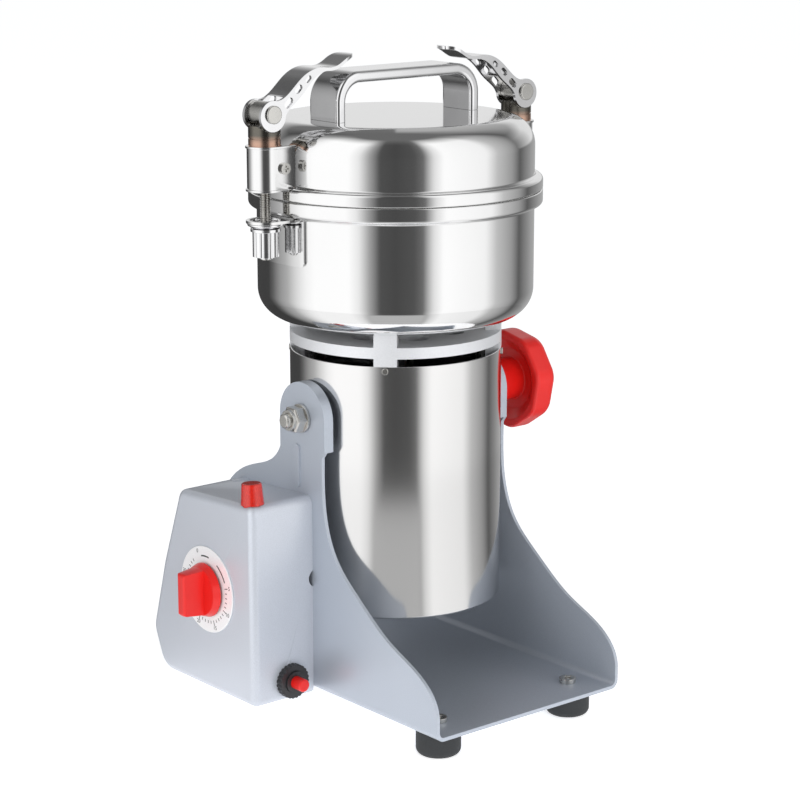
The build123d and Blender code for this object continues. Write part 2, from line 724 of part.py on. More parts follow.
# ---------------------------------------------------------------- milling rotor
spacer_bottom = bowl_bottom + skin + 1.8 + loose
with BuildPart() as rotor_spacers:
    spans = ((spacer_bottom, blade_z), (blade_z + 3.0, carrier_z), (carrier_z + 2.5, carrier_top_z))
    for start, stop in spans:
        tube(facing_z(0, 0, start), 9.0, shaft_radius, stop - start)
save(rotor_spacers, "rotor_spacers")

with BuildPart() as lower_blade:
    with BuildSketch(facing_z(0, 0, blade_z)) as blade_outline:
        with BuildLine():
            Polyline(
                (blade_reach, 4.0),
                (blade_reach - 8.0, 8.0),
                (-blade_reach, 8.0),
                (-blade_reach, -4.0),
                (-blade_reach + 8.0, -8.0),
                (blade_reach, -8.0),
                close=True,
            )
        make_face()
        Circle(12.0)
        Circle(shaft_radius, mode=Mode.SUBTRACT)
    extrude(blade_outline.sketch, amount=3.0)
save(lower_blade, "lower_blade")

with BuildPart() as hammer_carrier:
    for start in (carrier_z, carrier_top_z):
        with BuildSketch(facing_z(0, 0, start)) as plate:
            SlotCenterToCenter(2 * hammer_pin_reach, 17.0, rotation=90)
            Circle(12.0)
            Circle(shaft_radius, mode=Mode.SUBTRACT)
            with Locations((0, hammer_pin_reach), (0, -hammer_pin_reach)):
                Circle(hammer_pin_radius, mode=Mode.SUBTRACT)
        extrude(plate.sketch, amount=2.5)
save(hammer_carrier, "hammer_carrier")

with BuildPart() as hammer_pins:
    for y in (-hammer_pin_reach, hammer_pin_reach):
        bar(facing_z(0, y, carrier_z - 1.5), hammer_pin_radius, rotor_stack_top - carrier_z + 3.0)
        bar(facing_z(0, y, rotor_stack_top), hammer_pin_radius + 2.0, 1.5)
        bar(facing_z(0, y, carrier_z), hammer_pin_radius + 2.0, -1.5)
save(hammer_pins, "hammer_pins")

for side, name in ((-1, "front_hammer"), (1, "back_hammer")):
    with BuildPart() as hammer:
        with BuildSketch(facing_z(0, side * hammer_pin_reach, hammer_z)) as hammer_outline:
            Circle(8.0)
            with Locations((0, side * (hammer_reach - hammer_pin_reach) / 2)):
                Rectangle(16.0, hammer_reach - hammer_pin_reach)
            Circle(hammer_pin_radius + running, mode=Mode.SUBTRACT)
        extrude(hammer_outline.sketch, amount=hammer_thickness)
        chamfer(hammer.edges().filter_by(Axis.X).group_by(Axis.Z)[-1], 1.2)
    save(hammer, name)

with BuildPart() as cap_nut:
    hexagon(facing_z(0, 0, rotor_stack_top), 17.0, shaft_radius, 8.0)
    with BuildSketch(facing_z(0, 0, rotor_stack_top + 8.0)) as dome:
        Circle(7.5)
    extrude(dome.sketch, amount=4.0, taper=30)
save(cap_nut, "cap_nut")

# ---------------------------------------------------------------- lid, gasket and handle
lid_bottom = parting_z + lid_gap
gasket_bottom = parting_z + 0.1
handle_screw_places = [(x, y) for x in (-46.0, 46.0) for y in (-7.0, 7.0)]

with BuildPart() as lid:
    with BuildSketch(Plane.XZ) as lid_section:
        with BuildLine():
            Line((0, lid_top), (bowl_radius - lid_corner, lid_top))
            RadiusArc((bowl_radius - lid_corner, lid_top), (bowl_radius, lid_top - lid_corner), lid_corner)
            Line((bowl_radius, lid_top - lid_corner), (bowl_radius, bead_top + 1.0))
            Line((bowl_radius, bead_top + 1.0), (bead_radius, bead_top - 1.0))
            Line((bead_radius, bead_top - 1.0), (bead_radius, lid_bottom))
            Line((bead_radius, lid_bottom), (bowl_inside, lid_bottom))
            Line((bowl_inside, lid_bottom), (bowl_inside, lid_top - lid_corner))
            RadiusArc(
                (bowl_inside, lid_top - lid_corner),
                (bowl_radius - lid_corner, lid_top - skin),
                skin - lid_corner,
            )
            Line((bowl_radius - lid_corner, lid_top - skin), (0, lid_top - skin))
            Line((0, lid_top - skin), (0, lid_top))
        make_face()
    revolve(axis=Axis.Z)
    lid_bead_edges = lid.edges().filter_by(GeomType.CIRCLE).filter_by(
        lambda e: abs(e.radius - bead_radius) < 0.01 and e.center().Z > parting_z + 1
    )
    fillet(lid_bead_edges, 2.0)
    with BuildSketch(facing_z(0, 0, lid_bottom - 1.0)) as groove:
        Circle(bowl_inside + 3.9)
        Circle(bowl_inside + 0.9, mode=Mode.SUBTRACT)
    extrude(groove.sketch, amount=3.2, mode=Mode.SUBTRACT)
    for x, y in handle_screw_places:
        bar(facing_z(x, y, lid_top - skin - 1), 2.1, 4.0, Mode.SUBTRACT)
save(lid, "lid")

with BuildPart() as lid_gasket:
    tube(facing_z(0, 0, gasket_bottom), bowl_inside + 3.8, bowl_inside + 1.0, 2.2)
save(lid_gasket, "lid_gasket")

handle_top = lid_top + handle_rise
with BuildPart() as lid_handle:
    with BuildSketch(Plane.XZ) as hoop:
        for inset, mode in ((0.0, Mode.ADD), (handle_thickness, Mode.SUBTRACT)):
            half = handle_half_width - inset
            top = handle_top - inset
            round_r = handle_corner - inset
            with BuildLine():
                Polyline((-half, top - round_r), (-half, lid_top), (half, lid_top), (half, top - round_r))
                ThreePointArc(
                    (half, top - round_r),
                    (half - round_r * (1 - math.sqrt(0.5)), top - round_r * (1 - math.sqrt(0.5))),
                    (half - round_r, top),
                )
                Line((half - round_r, top), (round_r - half, top))
                ThreePointArc(
                    (round_r - half, top),
                    (round_r * (1 - math.sqrt(0.5)) - half, top - round_r * (1 - math.sqrt(0.5))),
                    (-half, top - round_r),
                )
            make_face(mode=mode)
    extrude(amount=handle_width / 2, both=True)
    outer_edges = lid_handle.edges().filter_by(
        lambda e: abs(abs(e.center().Y) - handle_width / 2) < 0.01 and e.center().Z > lid_top + 0.5
    )
    fillet(outer_edges, 2.2)
    for x, y in handle_screw_places:
        bar(facing_z(x, y, lid_top), 1.9, 6.0, Mode.SUBTRACT)
save(lid_handle, "lid_handle")

with BuildPart() as handle_screws:
    for x, y in handle_screw_places:
        seat = Plane(origin=(x, y, lid_top - skin), x_dir=(1, 0, 0), z_dir=(0, 0, -1))
        pan_screw(seat, 3.6, 1.9, 1.8, 6.5)
save(handle_screws, "handle_screws")

# ---------------------------------------------------------------- latches
# Both latches are the same pieces, mirrored: side is -1 on the left and 1 on the right.
lever_top = [
    (86.6, 337.8),
    (81.6, 338.3),
    (77.8, 340.6),
    (73.9, 344.0),
    (68.0, 349.0),
    (62.0, 352.0),
    (55.5, 353.0),
    (50.0, 352.6),
    (45.0, 353.6),
    (40.4, 356.2),
    (36.0, 358.2),
    (31.5, 358.6),
]
lever_under = [
    (79.6, 328.4),
    (78.2, 331.4),
    (73.6, 335.6),
    (69.0, 339.3),
    (63.5, 344.9),
    (59.0, 348.6),
    (53.0, 350.9),
    (49.6, 350.9),
    (44.6, 351.9),
    (40.0, 354.5),
    (35.9, 356.5),
    (31.6, 356.9),
]
lever_slots = [((77.4, 336.2), 6.4, 3.5), ((70.9, 342.8), 5.4, 3.1), ((64.5, 347.5), 4.4, 2.5)]
web_start = 79.0
flange_end = 54.0
web_sheet = 1.6
sides = (-1, 1)

for side, name in ((-1, "left"), (1, "right")):
    with BuildPart() as lever:
        # The side view: a cam eye around the pin, and a waisted arm that curls up at its tip.
        with BuildSketch(Plane.XZ) as profile:
            with BuildLine():
                Spline(*[(side * x, z) for x, z in lever_top])
                Line(
                    (side * lever_top[-1][0], lever_top[-1][1]),
                    (side * lever_under[-1][0], lever_under[-1][1]),
                )
                Spline(*[(side * x, z) for x, z in reversed(lever_under)])
                Polyline(
                    (side * lever_under[0][0], lever_under[0][1]),
                    (side * latch_x, latch_pin_z - cam_offset),
                    (side * lever_top[0][0], lever_top[0][1]),
                )
            make_face()
            with Locations((side * latch_x, latch_pin_z - cam_offset)):
                Circle(cam_radius)
        extrude(amount=lever_half_width, both=True)
        # Hollow the channel: below the web along the arm, and right through at the fork.
        with BuildSketch(Plane.XZ) as channel_cut:
            with BuildLine():
                inner = [(side * x, z - web_sheet) for x, z in lever_top if flange_end < x < web_start]
                far_x = side * (latch_x + 12.0)
                low_z = inner[-1][1] - 40.0
                high_z = inner[0][1] + 12.0
                Polyline((side * web_start, high_z), (side * web_start, inner[0][1]), inner[0])
                Spline(*inner)
                Polyline(
                    inner[-1],
                    (inner[-1][0], low_z),
                    (far_x, low_z),
                    (far_x, high_z),
                    (side * web_start, high_z),
                )
            make_face()
        extrude(channel_cut.sketch, amount=lever_half_width - lever_sheet, both=True, mode=Mode.SUBTRACT)
        # Three slots shrink along the arm, and the tip is round seen from above.
        lever_through = 2 * lever_half_width + 2
        with BuildSketch(Plane.XZ) as slots:
            for (x, z), slot_length, slot_width in lever_slots:
                with Locations((side * x, z)):
                    SlotOverall(slot_length, slot_width, rotation=-45 * side)
        extrude(slots.sketch, amount=lever_half_width + 1, both=True, mode=Mode.SUBTRACT)
        tip_x, tip_z = lever_top[-1]
        with BuildSketch(facing_z(0, 0, tip_z - 7.0)) as tip_corners:
            with Locations((side * tip_x, 0)):
                Rectangle(2 * lever_half_width, lever_through)
            with Locations((side * (tip_x + lever_half_width), 0)):
                Circle(lever_half_width, mode=Mode.SUBTRACT)
        extrude(tip_corners.sketch, amount=12.0, mode=Mode.SUBTRACT)
        pin_line = facing_y(side * latch_x, -lever_half_width - 1, latch_pin_z)
        bar(pin_line, latch_pin_radius + running, lever_through, Mode.SUBTRACT)
    save(lever, name + "_lever")

    with BuildPart() as latch_pin:
        pin_length = 2 * (lever_half_width + slip)
        bar(facing_y(side * latch_x, -pin_length / 2, latch_pin_z), latch_pin_radius, pin_length)
        bar(facing_y(side * latch_x, -pin_length / 2, latch_pin_z), latch_pin_head_radius, -1.2)
        bar(facing_y(side * latch_x, pin_length / 2, latch_pin_z), latch_pin_head_radius, 1.2)
        fillet(latch_pin.edges().group_by(Axis.Y)[0], 0.6)
        fillet(latch_pin.edges().group_by(Axis.Y)[-1], 0.6)
    save(latch_pin, name + "_latch_pin")

    with BuildPart() as latch_rod:
        eye_half_width = lever_half_width - lever_sheet - slip
        bar(facing_z(side * latch_x, 0, rod_bottom), rod_radius, latch_pin_z - rod_bottom)
        bar(facing_y(side * latch_x, -eye_half_width, latch_pin_z), rod_eye_radius, 2 * eye_half_width)
        pin_bore = facing_y(side * latch_x, -eye_half_width - 1, latch_pin_z)
        bar(pin_bore, latch_pin_radius + running, 2 * eye_half_width + 2, Mode.SUBTRACT)
    save(latch_rod, name + "_latch_rod")

    with BuildPart() as latch_nut:
        with BuildSketch(facing_z(side * latch_x, 0, nut_top - nut_height)) as nut_section:
            Circle(nut_radius)
            with PolarLocations(nut_radius + 0.5, 10):
                Circle(1.1, mode=Mode.SUBTRACT)
        extrude(nut_section.sketch, amount=nut_height - nut_lip)
        bar(facing_z(side * latch_x, 0, nut_top - nut_lip), nut_lip_radius, nut_lip)
        bar(facing_z(side * latch_x, 0, nut_top - nut_height), nut_spigot_radius, -1.2)
        nut_bore = facing_z(side * latch_x, 0, nut_top - nut_height - 2)
        bar(nut_bore, rod_radius + running, nut_height + 4, Mode.SUBTRACT)
    save(latch_nut, name + "_latch_nut")

    with BuildPart() as spring_cup:
        cup_floor = cup_top - cup_height
        cup_section = Plane(origin=(side * latch_x, 0, cup_floor), x_dir=(1, 0, 0), z_dir=(0, -1, 0))
        with BuildSketch(cup_section) as cup:
            with BuildLine():
                Polyline(
                    (rod_radius + slip, 0),
                    (nut_lip_radius - 1.0, 0),
                    (cup_radius, cup_height - 1.0),
                    (cup_radius, cup_height),
                    (cup_radius - 1.2, cup_height),
                    (nut_lip_radius - 1.6, 1.2),
                    (rod_radius + slip, 1.2),
                    close=True,
                )
            make_face()
        revolve(cup.sketch, axis=Axis((side * latch_x, 0, 0), (0, 0, 1)))
    save(spring_cup, name + "_spring_cup")

# The pieces that stay put share one node for both sides.
barrel_screw_x = latch_x - 5.6
barrel_screw_z = 303.0
barrel_lip = 0.7
barrel_lip_height = 1.2

with BuildPart() as barrels:
    # A strip bent round each rod, open towards the lid, with a lip at both ends.
    leg_length = latch_x - bowl_radius + 2.0
    lips = (
        (barrel_bottom, barrel_bottom + barrel_lip_height, barrel_lip),
        (barrel_top - barrel_lip_height, barrel_top, barrel_lip),
        (barrel_bottom, barrel_top, 0.0),
    )
    for side in sides:
        for start, stop, flare in lips:
            with BuildSketch(facing_z(side * latch_x, 0, start)) as loop:
                Circle(barrel_radius + flare)
                with Locations((-side * leg_length / 2, 0)):
                    Rectangle(leg_length, 2 * (barrel_radius + flare))
                Circle(barrel_radius - barrel_wall, mode=Mode.SUBTRACT)
                with Locations((-side * (leg_length + 1) / 2, 0)):
                    Rectangle(leg_length + 1, 2 * (barrel_radius - barrel_wall), mode=Mode.SUBTRACT)
            extrude(loop.sketch, amount=stop - start)
    # The legs end on the lid's side and clear its bead.
    bar(facing_z(0, 0, barrel_bottom - 1), bowl_radius + running, barrel_top, Mode.SUBTRACT)
    bead_clear = bead_top + 1.2 - barrel_bottom + 1
    bar(facing_z(0, 0, barrel_bottom - 1), bead_radius + slip, bead_clear, Mode.SUBTRACT)
    for side in sides:
        screw_line = facing_y(side * barrel_screw_x, -barrel_radius - 2, barrel_screw_z)
        bar(screw_line, 1.6, 2 * barrel_radius + 4, Mode.SUBTRACT)
save(barrels, "latch_barrels")

with BuildPart() as barrel_screws:
    for side in sides:
        head_plane = Plane(
            origin=(side * barrel_screw_x, -barrel_radius, barrel_screw_z),
            x_dir=(1, 0, 0),
            z_dir=(0, -1, 0),
        )
        pan_screw(head_plane, 3.0, 1.6, 1.5, 2 * barrel_radius + 1.0)
save(barrel_screws, "barrel_screws")

with BuildPart() as saddles:
    # Each saddle stands on its barrel and cradles the lever's cam.
    for side in sides:
        bar(facing_z(side * latch_x, 0, barrel_top), saddle_radius, saddle_height)
    for side in sides:
        cradle = facing_y(side * latch_x, -20, cam_bottom + cradle_radius)
        bar(cradle, cradle_radius, 40, Mode.SUBTRACT)
        bar(facing_z(side * latch_x, 0, barrel_top - 1), saddle_bore, 2 * saddle_height, Mode.SUBTRACT)
        with BuildSketch(facing_z(side * latch_x, 0, barrel_top + 3.6)) as waist:
            Circle(saddle_radius + 1)
            Circle(saddle_radius - 0.5, mode=Mode.SUBTRACT)
        extrude(waist.sketch, amount=0.6, mode=Mode.SUBTRACT)
save(saddles, "latch_saddles")

with BuildPart() as catches:
    # An upright plate on the bowl, with a shelf whose eye lets the nut through but not its cup.
    plate_outer = bowl_radius + running
    for side in sides:
        with BuildSketch(facing_z(0, 0, catch_bottom)) as plate:
            Circle(plate_outer + catch_sheet)
            Circle(plate_outer, mode=Mode.SUBTRACT)
            with Locations((side * bowl_radius, 0)):
                Rectangle(16.0, 2 * catch_half_width, mode=Mode.INTERSECT)
        extrude(plate.sketch, amount=shelf_bottom + catch_sheet - catch_bottom)
        with BuildSketch(facing_z(0, 0, shelf_bottom)) as shelf:
            with Locations((side * latch_x, 0)):
                Circle(catch_end_radius)
            with Locations((side * (bowl_radius - 3.0), 0)):
                Rectangle(
                    latch_x - bowl_radius + 3.0,
                    2 * catch_end_radius,
                    align=(Align.MIN if side > 0 else Align.MAX, Align.CENTER),
                )
            Circle(plate_outer, mode=Mode.SUBTRACT)
            with Locations((side * latch_x, 0)):
                Circle(nut_lip_radius + loose, mode=Mode.SUBTRACT)
        extrude(shelf.sketch, amount=catch_sheet)
    side_edges = catches.edges().filter_by(lambda e: abs(abs(e.center().Y) - catch_half_width) < 0.01)
    lower_edges = side_edges.filter_by(lambda e: abs(e.center().Z - catch_bottom) < 0.01)
    fillet(lower_edges, 3.0)
save(catches, "catches")
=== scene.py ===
import json
import math

import bmesh
import bpy
from mathutils import Matrix, Vector


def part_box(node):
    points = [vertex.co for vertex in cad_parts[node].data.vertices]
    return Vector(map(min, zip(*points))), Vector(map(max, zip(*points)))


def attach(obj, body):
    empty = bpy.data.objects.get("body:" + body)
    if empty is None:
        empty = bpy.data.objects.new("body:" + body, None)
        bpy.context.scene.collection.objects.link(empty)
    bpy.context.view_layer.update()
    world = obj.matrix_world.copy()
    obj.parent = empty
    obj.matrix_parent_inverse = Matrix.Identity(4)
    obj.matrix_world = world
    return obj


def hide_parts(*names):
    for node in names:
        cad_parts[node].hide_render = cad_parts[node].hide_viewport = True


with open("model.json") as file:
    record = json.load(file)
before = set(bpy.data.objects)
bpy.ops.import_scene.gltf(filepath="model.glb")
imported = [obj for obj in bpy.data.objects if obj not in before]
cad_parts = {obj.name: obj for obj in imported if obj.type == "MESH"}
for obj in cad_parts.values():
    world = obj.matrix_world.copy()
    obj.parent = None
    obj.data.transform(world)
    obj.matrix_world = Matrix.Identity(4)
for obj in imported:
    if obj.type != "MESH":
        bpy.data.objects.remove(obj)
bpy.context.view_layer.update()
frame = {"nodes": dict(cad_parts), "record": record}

MM = 0.001
SEGMENTS = 256


# ---------------------------------------------------------------- camera
# A long lens looks down a little on the mill from its front left.
camera_place = Vector((-0.81605, -0.98888, 0.47321))
camera_aim = Vector((0.00186, -0.00154, 0.16658))
camera_data = bpy.data.cameras.new("camera")
camera_data.lens = 107.66
camera_data.sensor_width = 36.0
camera_data.clip_end = 20.0
camera = bpy.data.objects.new("camera", camera_data)
camera.location = camera_place
camera.rotation_euler = (camera_aim - camera_place).to_track_quat("-Z", "Y").to_euler()
bpy.context.scene.collection.objects.link(camera)
bpy.context.scene.camera = camera


# ---------------------------------------------------------------- node helpers
def new_material(name, color, metallic, roughness):
    """A Principled material, its tree and its shader."""
    material = bpy.data.materials.new(name)
    material.use_nodes = True
    tree = material.node_tree
    shader = tree.nodes["Principled BSDF"]
    shader.inputs["Base Color"].default_value = (*color, 1.0)
    shader.inputs["Metallic"].default_value = metallic
    shader.inputs["Roughness"].default_value = roughness
    return material, tree, shader


def object_coordinates(tree, scale=(1, 1, 1)):
    """Object coordinates, stretched by a scale along each axis."""
    source = tree.nodes.new("ShaderNodeTexCoord")
    mapping = tree.nodes.new("ShaderNodeMapping")
    mapping.inputs["Scale"].default_value = scale
    tree.links.new(source.outputs["Object"], mapping.inputs["Vector"])
    return mapping.outputs["Vector"]


def noise(tree, vector, scale, detail=4.0, rough=0.55):
    """The value of a noise texture."""
    node = tree.nodes.new("ShaderNodeTexNoise")
    node.inputs["Scale"].default_value = scale
    node.inputs["Detail"].default_value = detail
    node.inputs["Roughness"].default_value = rough
    tree.links.new(vector, node.inputs["Vector"])
    return node.outputs["Fac"]


def ramp(tree, value, stops):
    """A colour ramp over a value, from (position, grey or colour) stops."""
    node = tree.nodes.new("ShaderNodeValToRGB")
    elements = node.color_ramp.elements
    while len(elements) < len(stops):
        elements.new(0.5)
    for element, (position, tint) in zip(elements, stops):
        element.position = position
        rgb = (tint, tint, tint) if isinstance(tint, float) else tint
        element.color = (*rgb, 1.0)
    tree.links.new(value, node.inputs["Fac"])
    return node.outputs["Color"]


def spread(tree, value, low, high):
    """A value from 0 to 1 stretched to run from low to high."""
    node = tree.nodes.new("ShaderNodeMapRange")
    node.inputs["To Min"].default_value = low
    node.inputs["To Max"].default_value = high
    tree.links.new(value, node.inputs["Value"])
    return node.outputs["Result"]


def math_node(tree, operation, first, second):
    """One arithmetic step on two values, each a socket or a number."""
    node = tree.nodes.new("ShaderNodeMath")
    node.operation = operation
    for index, value in enumerate((first, second)):
        if isinstance(value, (int, float)):
            node.inputs[index].default_value = value
        else:
            tree.links.new(value, node.inputs[index])
    return node.outputs["Value"]


def bump(tree, shader, height, strength, distance):
    """A bump on a shader from a height value."""
    node = tree.nodes.new("ShaderNodeBump")
    node.inputs["Strength"].default_value = strength
    node.inputs["Distance"].default_value = distance
    tree.links.new(height, node.inputs["Height"])
    tree.links.new(node.outputs["Normal"], shader.inputs["Normal"])


def polar_vector(tree, centre=(0.0, 0.0, 0.0), around="Z"):
    """Coordinates (angle, distance from the axis, place along the axis) round a line."""
    source = tree.nodes.new("ShaderNodeTexCoord")
    split = tree.nodes.new("ShaderNodeSeparateXYZ")
    tree.links.new(source.outputs["Object"], split.inputs["Vector"])
    order = {"Z": ("X", "Y", "Z"), "X": ("Y", "Z", "X"), "Y": ("Z", "X", "Y")}[around]
    index = {"X": 0, "Y": 1, "Z": 2}
    across = math_node(tree, "SUBTRACT", split.outputs[order[0]], centre[index[order[0]]])
    up = math_node(tree, "SUBTRACT", split.outputs[order[1]], centre[index[order[1]]])
    along = math_node(tree, "SUBTRACT", split.outputs[order[2]], centre[index[order[2]]])
    angle = math_node(tree, "ARCTAN2", up, across)
    across_square = math_node(tree, "MULTIPLY", across, across)
    up_square = math_node(tree, "MULTIPLY", up, up)
    square = math_node(tree, "ADD", across_square, up_square)
    return angle, math_node(tree, "SQRT", square, 0.0), along


def combine(tree, x, y, z):
    """A vector from three values."""
    node = tree.nodes.new("ShaderNodeCombineXYZ")
    for socket, value in zip(node.inputs, (x, y, z)):
        if isinstance(value, (int, float)):
            socket.default_value = value
        else:
            tree.links.new(value, socket)
    return node.outputs["Vector"]


# ---------------------------------------------------------------- materials
def turned_steel(name, color, roughness, grain, depth):
    """Steel polished on a lathe: fine lines run round the vertical axis, with faint smears."""
    material, tree, shader = new_material(name, color, 1.0, roughness)
    angle, reach, along = polar_vector(tree)
    lines = noise(tree, combine(tree, math_node(tree, "MULTIPLY", angle, 0.6), reach, along), grain, 3.0)
    smears = noise(tree, object_coordinates(tree, (1, 1, 0.6)), 14.0, 5.0)
    half_lines = math_node(tree, "MULTIPLY", lines, 0.5)
    half_smears = math_node(tree, "MULTIPLY", smears, 0.5)
    mixed = math_node(tree, "ADD", half_lines, half_smears)
    tree.links.new(spread(tree, mixed, roughness * 0.6, roughness * 1.5), shader.inputs["Roughness"])
    tint = ramp(tree, smears, [(0.3, tuple(c * 0.96 for c in color)), (0.7, color)])
    tree.links.new(tint, shader.inputs["Base Color"])
    bump(tree, shader, lines, 0.05, depth)
    return material


def plated_metal(name, color, roughness, wear=0.12):
    """Plated or plain metal with small stains and a softly uneven polish."""
    material, tree, shader = new_material(name, color, 1.0, roughness)
    cloud = noise(tree, object_coordinates(tree), 55.0, 6.0)
    fine = noise(tree, object_coordinates(tree), 900.0, 2.0)
    tree.links.new(spread(tree, cloud, roughness * 0.65, roughness * 1.45), shader.inputs["Roughness"])
    dark = tuple(c * (1.0 - wear) for c in color)
    tree.links.new(ramp(tree, cloud, [(0.35, dark), (0.6, color)]), shader.inputs["Base Color"])
    bump(tree, shader, fine, 0.06, 0.00003)
    return material


def brushed_metal(name, color, roughness, stretch):
    """Ground or brushed metal with lines along one axis."""
    material, tree, shader = new_material(name, color, 1.0, roughness)
    lines = noise(tree, object_coordinates(tree, stretch), 260.0, 4.0, 0.7)
    cloud = noise(tree, object_coordinates(tree), 30.0, 4.0)
    tree.links.new(spread(tree, lines, roughness * 0.7, roughness * 1.4), shader.inputs["Roughness"])
    dark = tuple(c * 0.88 for c in color)
    tree.links.new(ramp(tree, cloud, [(0.35, dark), (0.65, color)]), shader.inputs["Base Color"])
    bump(tree, shader, lines, 0.12, 0.00004)
    return material


def silver_paint(name, color, roughness):
    """Satin silver paint: metal flakes in a clear binder over a faint orange peel."""
    material, tree, shader = new_material(name, color, 0.42, roughness)
    shader.inputs["Coat Weight"].default_value = 0.22
    shader.inputs["Coat Roughness"].default_value = 0.22
    flakes = noise(tree, object_coordinates(tree), 2600.0, 2.0, 0.6)
    peel = noise(tree, object_coordinates(tree), 420.0, 3.0)
    shade = noise(tree, object_coordinates(tree), 9.0, 3.0)
    glitter = math_node(tree, "MULTIPLY", flakes, 0.75)
    drift = math_node(tree, "MULTIPLY", shade, 0.25)
    speckle = math_node(tree, "ADD", glitter, drift)
    dark = tuple(c * 0.90 for c in color)
    light = tuple(min(1.0, c * 1.07) for c in color)
    tree.links.new(ramp(tree, speckle, [(0.35, dark), (0.65, light)]), shader.inputs["Base Color"])
    tree.links.new(spread(tree, flakes, roughness * 0.85, roughness * 1.2), shader.inputs["Roughness"])
    bump(tree, shader, peel, 0.10, 0.00006)
    return material


def moulded_plastic(name, color, roughness, coat, texture_scale, texture_depth):
    """Moulded plastic with a fine surface and slow colour drift."""
    material, tree, shader = new_material(name, color, 0.0, roughness)
    shader.inputs["Coat Weight"].default_value = coat
    shader.inputs["Coat Roughness"].default_value = 0.12
    drift = noise(tree, object_coordinates(tree), 22.0, 3.0)
    grain = noise(tree, object_coordinates(tree), texture_scale, 3.0)
    dark = tuple(c * 0.88 for c in color)
    tree.links.new(ramp(tree, drift, [(0.35, dark), (0.65, color)]), shader.inputs["Base Color"])
    tree.links.new(spread(tree, grain, roughness * 0.8, roughness * 1.2), shader.inputs["Roughness"])
    bump(tree, shader, grain, 0.15, texture_depth)
    return material


def shaded_ringed_steel(name, dark, bronze):
    """Steel with a dark base colour that is painted shade and painted dark reflection, whose lowest few
    millimetres are a bronze-coloured ring.
    """
    # The dark base colour is painted shade and painted dark reflection.
    material, tree, shader = new_material(name, dark, 1.0, 0.24)
    angle, reach, along = polar_vector(tree)
    cloud = noise(tree, object_coordinates(tree), 70.0, 5.0)
    ring_top = 0.3185
    tint = ramp(tree, along, [(ring_top, bronze), (ring_top + 0.0003, dark)])
    tree.links.new(tint, shader.inputs["Base Color"])
    tree.links.new(spread(tree, cloud, 0.16, 0.34), shader.inputs["Roughness"])
    bump(tree, shader, cloud, 0.08, 0.0001)
    return material


def lamp_lens(name):
    """Translucent red lens, brighter where light gathers inside."""
    material, tree, shader = new_material(name, (0.80, 0.012, 0.006), 0.0, 0.14)
    shader.inputs["Transmission Weight"].default_value = 0.35
    shader.inputs["IOR"].default_value = 1.49
    shader.inputs["Coat Weight"].default_value = 0.6
    angle, reach, along = polar_vector(tree, (-0.097, 0.0, 0.0))
    ribs = noise(tree, combine(tree, math_node(tree, "MULTIPLY", angle, 0.02), reach, along), 700.0, 2.0)
    tint = ramp(tree, ribs, [(0.3, (0.58, 0.008, 0.004)), (0.7, (0.90, 0.03, 0.012))])
    tree.links.new(tint, shader.inputs["Base Color"])
    bump(tree, shader, ribs, 0.1, 0.0001)
    return material


MATERIALS = {
    "stand_paint": silver_paint("stand_paint", (0.46, 0.50, 0.565), 0.38),
    "box_paint": silver_paint("box_paint", (0.58, 0.61, 0.67), 0.40),
    "polished_steel": turned_steel("polished_steel", (0.86, 0.86, 0.86), 0.075, 900.0, 0.00002),
    "brushed_tube": turned_steel("brushed_tube", (0.83, 0.825, 0.82), 0.12, 500.0, 0.00002),
    "die_cast": silver_paint("die_cast", (0.70, 0.71, 0.73), 0.45),
    "bright_chrome": plated_metal("bright_chrome", (0.87, 0.87, 0.88), 0.09, 0.05),
    "zinc_steel": plated_metal("zinc_steel", (0.68, 0.67, 0.64), 0.26),
    # dark_steel: its dark base colour is painted shade and painted dark reflection.
    "dark_steel": shaded_ringed_steel("dark_steel", (0.16, 0.15, 0.13), (0.56, 0.36, 0.27)),
    "hard_steel": brushed_metal("hard_steel", (0.52, 0.53, 0.54), 0.28, (0.05, 1, 1)),
    "lamination": brushed_metal("lamination", (0.20, 0.21, 0.23), 0.45, (0.02, 0.02, 1)),
    "copper_wire": plated_metal("copper_wire", (0.55, 0.24, 0.10), 0.3, 0.3),
    "brass": plated_metal("brass", (0.78, 0.58, 0.26), 0.25),
    "black_plastic": moulded_plastic("black_plastic", (0.022, 0.022, 0.024), 0.42, 0.1, 900.0, 0.00005),
    "grey_rubber": moulded_plastic("grey_rubber", (0.030, 0.032, 0.034), 0.72, 0.0, 1400.0, 0.00012),
    "white_silicone": moulded_plastic("white_silicone", (0.74, 0.74, 0.72), 0.5, 0.0, 300.0, 0.00003),
    "red_plastic": moulded_plastic("red_plastic", (0.74, 0.011, 0.008), 0.34, 0.12, 240.0, 0.00003),
    "lamp_red": lamp_lens("lamp_red"),
    "dial_white": silver_paint("dial_white", (0.97, 0.98, 1.0), 0.38),
    "carbon": moulded_plastic("carbon", (0.03, 0.03, 0.032), 0.55, 0.0, 900.0, 0.00005),
}
node_slot = {entry["node"]: entry["material_slot"] for entry in frame["record"]["subparts"]}
node_body = {node: body for body, nodes in frame["record"]["behaviour"]["bodies"].items() for node in nodes}

for node_name, node_object in frame["nodes"].items():
    node_object.data.materials.clear()
    node_object.data.materials.append(MATERIALS[node_slot[node_name]])


# ---------------------------------------------------------------- mesh helpers
def add_piece(name, mesh, body, slot, replaced=(), smooth_angle=32.0):
    """A finished piece: its material, its shading, its body and the CAD nodes that it stands for."""
    piece = bpy.data.objects.new(name, mesh)
    bpy.context.scene.collection.objects.link(piece)
    mesh.materials.clear()
    mesh.materials.append(MATERIALS[slot])
    mesh.shade_smooth()
    mesh.set_sharp_from_angle(angle=math.radians(smooth_angle))
    flat = piece.modifiers.new("flat_faces", "WEIGHTED_NORMAL")
    flat.mode = "FACE_AREA"
    flat.weight = 100
    flat.keep_sharp = True
    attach(piece, body)
    if replaced:
        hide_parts(*replaced)
    return piece


